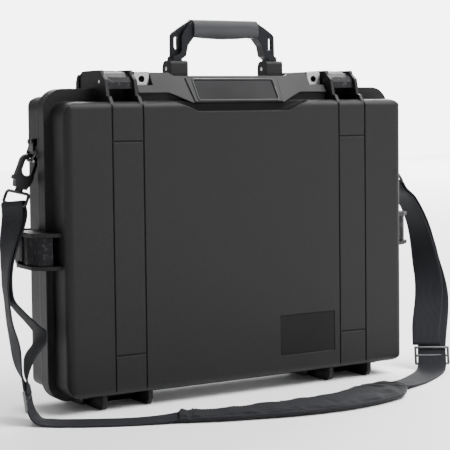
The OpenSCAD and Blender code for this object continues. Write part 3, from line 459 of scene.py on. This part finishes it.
def strandAlong(points, side, s):
    # Places and axes of a strand, which starts beside the loop's bar and eases back to its route
    way = smoothWay(points, s["stepsBetween"])
    places = way[:, :3]
    across, normal = axesAlong(places, way[:, 3])
    fade = np.clip(1 - lengthsAlong(places) / s["barReach"], 0, 1) ** 2
    return places + side * s["barGap"] * fade[:, None] * normal[0], across, normal


def wrapBar(name, center, across, first, last, s):
    # The webbing's turn over the bar, from one strand's side to the other's
    level = np.array([across[1], -across[0], 0.0])
    level /= np.linalg.norm(level)
    up = np.cross(across, level)
    up *= math.copysign(1.0, up[2])
    turns = [math.atan2(v @ up, v @ level) for v in (first, last)]
    turns = [t + 2 * math.pi if t < -math.pi / 2 else t for t in turns]
    angles = np.linspace(*turns, s["wrapSteps"])
    out = np.cos(angles)[:, None] * level + np.sin(angles)[:, None] * up
    places = center + s["barGap"] * out
    width = np.repeat(across[None], len(places), axis=0)
    normal = np.cross(aheadAlong(places), width)
    obj = sweep(name, places, width, normal, strapRing, materials["webbing"])
    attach(obj, "base")


strands = {}
for name, points in routes.items():
    strands[name] = strandAlong(points, barSide[name], strap)
    obj = sweep(name, *strands[name], strapRing, materials["webbing"])
    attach(obj, "base")
    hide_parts(replacedNode[name])
    side = "left" if "Left" in name else "right"
for side in ("Left", "Right"):
    outer, inner = "strap" + side, "strap" + side + "Inner"
    wrapBar(
        "strapWrap" + side, np.array(routes[outer][0][:3]), strands[outer][1][0],
        barSide[outer] * strands[outer][2][0], barSide[inner] * strands[inner][2][0], strap,
    )

# Stitches, by Geometry Nodes. The box is from and to along the webbing.
stitch = {
    "pitch": 0.0042, "length": 0.0029, "thickness": 0.0007, "ballSegments": 8, "ballRings": 6,
    "box": (0.018, 0.048), "inset": 0.004, "above": 0.0001, "lineSteps": 9,
}


def stitchTree(s):
    tree = bpy.data.node_groups.new("stitchRow", "GeometryNodeTree")
    face = tree.interface
    face.new_socket("Line", in_out="INPUT", socket_type="NodeSocketGeometry")
    for label in ("Pitch", "Length", "Thickness"):
        face.new_socket(label, in_out="INPUT", socket_type="NodeSocketFloat")
    face.new_socket("Thread", in_out="INPUT", socket_type="NodeSocketMaterial")
    face.new_socket("Stitches", in_out="OUTPUT", socket_type="NodeSocketGeometry")
    add = tree.nodes.new
    link = tree.links.new
    given, result = add("NodeGroupInput"), add("NodeGroupOutput")
    curve = add("GeometryNodeMeshToCurve")
    link(given.outputs["Line"], curve.inputs["Mesh"])
    spaced = add("GeometryNodeResampleCurve")
    spaced.mode = "LENGTH"
    link(curve.outputs[0], spaced.inputs["Curve"])
    link(given.outputs["Pitch"], spaced.inputs["Length"])
    ball = add("GeometryNodeMeshUVSphere")
    ball.inputs["Segments"].default_value = s["ballSegments"]
    ball.inputs["Rings"].default_value = s["ballRings"]
    ball.inputs["Radius"].default_value = 0.5  # one unit across, scaled to a stitch below
    size = add("ShaderNodeCombineXYZ")
    for i, label in enumerate(("Thickness", "Thickness", "Length")):
        link(given.outputs[label], size.inputs[i])
    shaped = add("GeometryNodeTransform")
    link(ball.outputs["Mesh"], shaped.inputs["Geometry"])
    link(size.outputs[0], shaped.inputs["Scale"])
    turned = add("FunctionNodeAlignRotationToVector")
    turned.axis = "Z"
    link(add("GeometryNodeInputTangent").outputs[0], turned.inputs["Vector"])
    placed = add("GeometryNodeInstanceOnPoints")
    link(spaced.outputs[0], placed.inputs["Points"])
    link(shaped.outputs[0], placed.inputs["Instance"])
    link(turned.outputs[0], placed.inputs["Rotation"])
    real = add("GeometryNodeRealizeInstances")
    link(placed.outputs[0], real.inputs[0])
    colored = add("GeometryNodeSetMaterial")
    link(real.outputs[0], colored.inputs["Geometry"])
    link(given.outputs["Thread"], colored.inputs["Material"])
    link(colored.outputs[0], result.inputs[0])
    return tree


stitchRow = stitchTree(stitch)


def sewn(name, lines):
    verts, edges = [], []
    for line in lines:
        start = len(verts)
        verts += [tuple(p) for p in line]
        edges += [(start + i, start + i + 1) for i in range(len(line) - 1)]
    mesh = bpy.data.meshes.new(name + "Line")
    mesh.from_pydata(verts, edges, [])
    guide = inScene(name + "Line", mesh)
    made = guide.modifiers.new("stitches", "NODES")
    made.node_group = stitchRow
    given = {item.name: item.identifier for item in stitchRow.interface.items_tree if item.in_out == "INPUT"}
    for label in ("Pitch", "Length", "Thickness"):
        made[given[label]] = stitch[label.lower()]
    made[given["Thread"]] = threadMaterial
    shaped = guide.evaluated_get(bpy.context.evaluated_depsgraph_get())
    obj = inScene(name, bpy.data.meshes.new_from_object(shaped))
    bpy.data.objects.remove(guide)
    obj.data.shade_smooth()
    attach(obj, "base")


def beltStitches(places, across, normal, side, s):
    # A sewn box with a cross on one stretch of webbing
    gone = lengthsAlong(places)
    lift = side * (strap["thickness"] / 2 + s["above"])
    half = strap["width"] / 2 - s["inset"]
    start, end = s["box"]

    def at(w, v):
        return np.array([
            np.interp(v, gone, places[:, k] + w * across[:, k] + lift * normal[:, k]) for k in range(3)
        ])

    corners = [(-half, start), (half, start), (half, end), (-half, end), (-half, start), (half, end)]
    sides = [*zip(corners[:-1], corners[1:]), ((half, start), (-half, end))]
    steps = np.linspace(0, 1, s["lineSteps"])
    return [[at(a[0] + (b[0] - a[0]) * t, a[1] + (b[1] - a[1]) * t) for t in steps] for a, b in sides]


# Shoulder pad: cloth blown up between its seams. Its route is x, y, heading of its width, share of its
# full width.
padRoute = [
    [-0.146, -0.14, 61, 0.6], [-0.138, -0.144, 63, 0.6], [-0.101, -0.16, 70, 0.61],
    [-0.06, -0.169, 77, 0.72], [-0.02, -0.175, 84, 0.86], [0.02, -0.178, 90, 0.94], [0.06, -0.177, 96, 0.98],
    [0.1, -0.169, 104, 1.02], [0.126, -0.158, 111, 1.05], [0.143, -0.15, 117, 0.86],
    [0.156, -0.143, 119, 0.62], [0.166, -0.137, 119, 0.58],
]
pad = {
    "width": 0.066, "thickness": 0.013, "steps": 8, "ring": 40, "start": 0.8,
    # Powers that round the section's sides, underside and top
    "sideRound": 0.6, "underRound": 0.42, "topRound": 0.62,
    # Shares of the thickness: at the ends and gained from there, on a cross seam, and beside one
    "endSteps": 6, "endPlump": (0.42, 0.58), "seamPlump": 0.74, "besideSeam": 0.93, "crossSeams": (9, 76),
    # The cloth, and how far a point may move
    "pressure": 4.0, "shrink": -0.03, "mass": 0.2, "quality": 6, "frames": 20, "cap": 0.0014,
    # Its gap to the floor, then its lowest point and how far its top may pass the thickness
    "floorGap": 0.0003, "lowest": 0.0002, "above": 0.001,
    # Creases: from and to as metres along and across, then depth and width. They press in only what is
    # higher than creaseFrom, a share of the thickness.
    "creases": (
        (0.262, 0.014, 0.292, -0.010, 0.0020, 0.0035), (0.284, 0.030, 0.288, -0.004, 0.0022, 0.0035),
        (0.236, -0.006, 0.268, -0.020, 0.0014, 0.004), (0.05, 0.012, 0.12, 0.002, 0.0012, 0.004),
        (0.298, 0.018, 0.318, 0.004, 0.0018, 0.003),
    ),
    "creaseFrom": 0.4,
    "welt": 0.0017, "weltSteps": 10, "weltEnd": 0.4,
    # The seams' stitches, in steps from the welts and from the ends
    "stitchLift": 0.0002, "stitchIn": 4, "stitchEnds": 2, "crossIn": 3,
}


def padRing(width, thickness, s):
    out = []
    for k in range(s["ring"]):
        a = 2 * math.pi * k / s["ring"]
        x, z = math.cos(a), math.sin(a)
        rounding = s["underRound"] if z < 0 else s["topRound"]
        out.append((
            width / 2 * math.copysign(abs(x) ** s["sideRound"], x),
            thickness / 2 * math.copysign(abs(z) ** rounding, z),
        ))
    return out


def blownUp(mesh, held, s):
    # Runs the cloth and gives its last shape, each point kept within the cap
    obj = inScene("padCloth", mesh.copy())
    group = obj.vertex_groups.new(name="held")
    group.add(np.nonzero(held)[0].tolist(), 1.0, "REPLACE")
    cloth = obj.modifiers.new("cloth", "CLOTH")
    cloth.settings.use_pressure = True
    cloth.settings.uniform_pressure_force = s["pressure"]
    cloth.settings.effector_weights.gravity = 0
    cloth.settings.vertex_group_mass = "held"
    cloth.settings.shrink_min = s["shrink"]
    cloth.settings.mass = s["mass"]
    cloth.settings.quality = s["quality"]
    cloth.collision_settings.use_collision = False
    scene = bpy.context.scene
    for f in range(1, s["frames"] + 1):
        scene.frame_set(f)
    shaped = obj.evaluated_get(bpy.context.evaluated_depsgraph_get())
    new = np.empty(len(mesh.vertices) * 3)
    shaped.data.vertices.foreach_get("co", new)
    old = np.empty_like(new)
    mesh.vertices.foreach_get("co", old)
    new, old = new.reshape(-1, 3), old.reshape(-1, 3)
    bpy.data.objects.remove(obj)
    scene.frame_set(1)
    move = new - old
    far = np.linalg.norm(move, axis=1)
    move *= np.minimum(1, s["cap"] / np.maximum(far, 1e-9))[:, None]
    return old + move


def creased(shape, along, wide, s):
    out = shape.copy()
    onTop = shape[:, 2] > s["thickness"] * s["creaseFrom"]
    for a0, w0, a1, w1, depth, width in s["creases"]:
        line = np.array([a1 - a0, w1 - w0])
        away = np.stack([along - a0, wide - w0], axis=1)
        t = np.clip(away @ line / (line @ line), 0, 1)
        gap = np.linalg.norm(away - t[:, None] * line, axis=1)
        out[:, 2] -= np.where(onTop, depth * np.exp(-((gap / width) ** 2)), 0)
    return out


def makePad(s):
    # Replaces the solid pad, and gives back the points of its mesh before it is made finer
    way = smoothWay(padRoute, s["steps"])
    places = np.column_stack([way[:, :2], np.full(len(way), s["thickness"] * 0.5)])
    across, normal = axesAlong(places, way[:, 2])
    last = len(places) - 1
    count = s["ring"]
    low, rise = s["endPlump"]
    rings = []
    for i in range(len(places)):
        ends = min(i, last - i) / s["endSteps"]
        plump = low + rise * math.sqrt(1 - (1 - min(ends, 1.0)) ** 2)
        seam = min(abs(i - c) for c in s["crossSeams"])
        plump *= s["seamPlump"] if seam == 0 else s["besideSeam"] if seam == 1 else 1.0
        rings.append(padRing(s["width"] * way[i, 3], s["thickness"] * s["start"] * plump, s))
    rings = np.array(rings)
    places[:, 2] = -rings[:, :, 1].min(axis=1) + s["floorGap"]
    obj = sweep("shoulderPad", places, across, normal, rings, materials["pad_fabric"])
    mesh = obj.data
    held = np.zeros((len(places), count))
    held[:, 0] = 1
    held[:, count // 2:] = 1
    held[[0, -1, *s["crossSeams"]]] = 1
    shape = blownUp(mesh, held.ravel(), s)
    shape = creased(shape, np.repeat(lengthsAlong(places), count), rings[:, :, 0].ravel(), s)
    shape[:, 2] = np.clip(shape[:, 2], s["lowest"], s["thickness"] + s["above"])
    mesh.vertices.foreach_set("co", shape.ravel())
    mesh.update()
    grid = np.array([v.co[:] for v in mesh.vertices]).reshape(len(places), count, 3)
    finer = obj.modifiers.new("finer", "SUBSURF")
    finer.levels = finer.render_levels = 1
    shaped = obj.evaluated_get(bpy.context.evaluated_depsgraph_get())
    smooth = bpy.data.meshes.new_from_object(shaped)
    obj.modifiers.clear()
    obj.data = smooth
    smooth.shade_smooth()
    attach(obj, "base")
    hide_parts("shoulder_pad")
    return grid


def makeWelt(name, line, s):
    # A round welt along a seam, closed at both ends
    places = line.copy()
    places[:, 2] = np.maximum(places[:, 2], s["welt"] + s["lowest"])
    ahead = aheadAlong(places)
    across = unitRows(np.cross(ahead, (0, 0, 1.0)))
    shares = np.ones(len(places))
    shares[[0, -1]] = s["weltEnd"]
    rings = np.array([roundRing(s["welt"] * share, s["weltSteps"]) for share in shares])
    obj = sweep(name, places, across, np.cross(ahead, across), rings, materials["pad_fabric"])
    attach(obj, "base")


padGrid = makePad(pad)
half = pad["ring"] // 2
makeWelt("padWeltBack", padGrid[:, 0], pad)
makeWelt("padWeltFront", padGrid[:, half], pad)
raised = padGrid + (0, 0, pad["stitchLift"])
inward, ends, crossIn = pad["stitchIn"], pad["stitchEnds"], pad["crossIn"]
padLines = [raised[ends:-ends, k] for k in (inward, half - inward)]
padLines += [raised[c + d, crossIn:half - crossIn + 1] for c in pad["crossSeams"] for d in (-1, 1)]
sewn("padStitches", padLines)
boxes = []
for name in ("strapLeft", "strapRight"):
    boxes += beltStitches(*strands[name], barSide[name], stitch)
sewn("strapStitches", boxes)
print("stage: strap and pad")

# Floor and light. The world is white behind the case, within the fade's and the rise's limits, and dimmer
# on the viewer's side.
stage = {
    "size": 12.0, "floor": (0.94, 0.94, 0.945), "floorRoughness": 0.8, "floorShine": 0.2,
    "white": (1.0, 1.0, 1.0), "behind": 6.2, "viewer": 0.5, "heading": 46.0, "fade": (0.84, 0.9),
    "rise": (0.15, 0.3),
}
lights = {
    "overhead": {"place": (1.3, -1.1, 2.5), "target": (0, -0.2, 0.1), "size": (2.2, 1.8), "power": 190.0},
    "backWash": {"place": (3.8, 4.8, 3.8), "target": (3.4, 4.4, 0.0), "size": (5.4, 5.0), "power": 1500.0},
    "rightFront": {"place": (2.0, -2.2, 1.6), "target": (0, 0, 0.25), "size": (1.2, 1.6), "power": 16.0},
}


def makeFloor(s):
    h = s["size"] / 2
    mesh = bpy.data.meshes.new("floor")
    mesh.from_pydata([(-h, -h, 0), (h, -h, 0), (h, h, 0), (-h, h, 0)], [], [(0, 1, 2, 3)])
    floor = inScene("floor", mesh)
    paint = Shader("floorPaint")
    paint.setMain({
        "Base Color": (*s["floor"], 1.0), "Roughness": s["floorRoughness"],
        "Specular IOR Level": s["floorShine"],
    })
    mesh.materials.append(paint.material)


def makeWorld(s):
    world = bpy.data.worlds.new("studio")
    world.use_nodes = True
    tree = world.node_tree
    add, link = tree.nodes.new, tree.links.new
    heading = math.radians(s["heading"])
    way = add("ShaderNodeTexCoord").outputs["Generated"]
    toward = add("ShaderNodeVectorMath")
    toward.operation = "DOT_PRODUCT"
    link(way, toward.inputs[0])
    toward.inputs[1].default_value = (math.sin(heading), math.cos(heading), 0)
    parts = add("ShaderNodeSeparateXYZ")
    link(way, parts.inputs[0])

    def faded(value, limits, ends):
        made = add("ShaderNodeMapRange")
        made.interpolation_type = "SMOOTHSTEP"
        link(value, made.inputs["Value"])
        for key, number in zip(("From Min", "From Max", "To Min", "To Max"), (*limits, *ends)):
            made.inputs[key].default_value = number
        return made.outputs[0]

    strength = add("ShaderNodeMath")
    strength.operation = "MULTIPLY_ADD"
    link(faded(toward.outputs["Value"], s["fade"], (0, s["behind"] - s["viewer"])), strength.inputs[0])
    link(faded(parts.outputs[2], s["rise"], (1, 0)), strength.inputs[1])
    strength.inputs[2].default_value = s["viewer"]
    back = tree.nodes["Background"]
    back.inputs[0].default_value = (*s["white"], 1.0)
    link(strength.outputs[0], back.inputs[1])
    bpy.context.scene.world = world


def areaLight(name, s):
    data = bpy.data.lights.new(name, "AREA")
    data.shape = "RECTANGLE"
    data.size, data.size_y = s["size"]
    data.energy = s["power"]
    lamp = inScene(name, data)
    lamp.location = s["place"]
    lamp.rotation_euler = (Vector(s["target"]) - Vector(s["place"])).to_track_quat("-Z", "Y").to_euler()


makeFloor(stage)
makeWorld(stage)
for name, settings in lights.items():
    areaLight(name, settings)
print("stage: light")
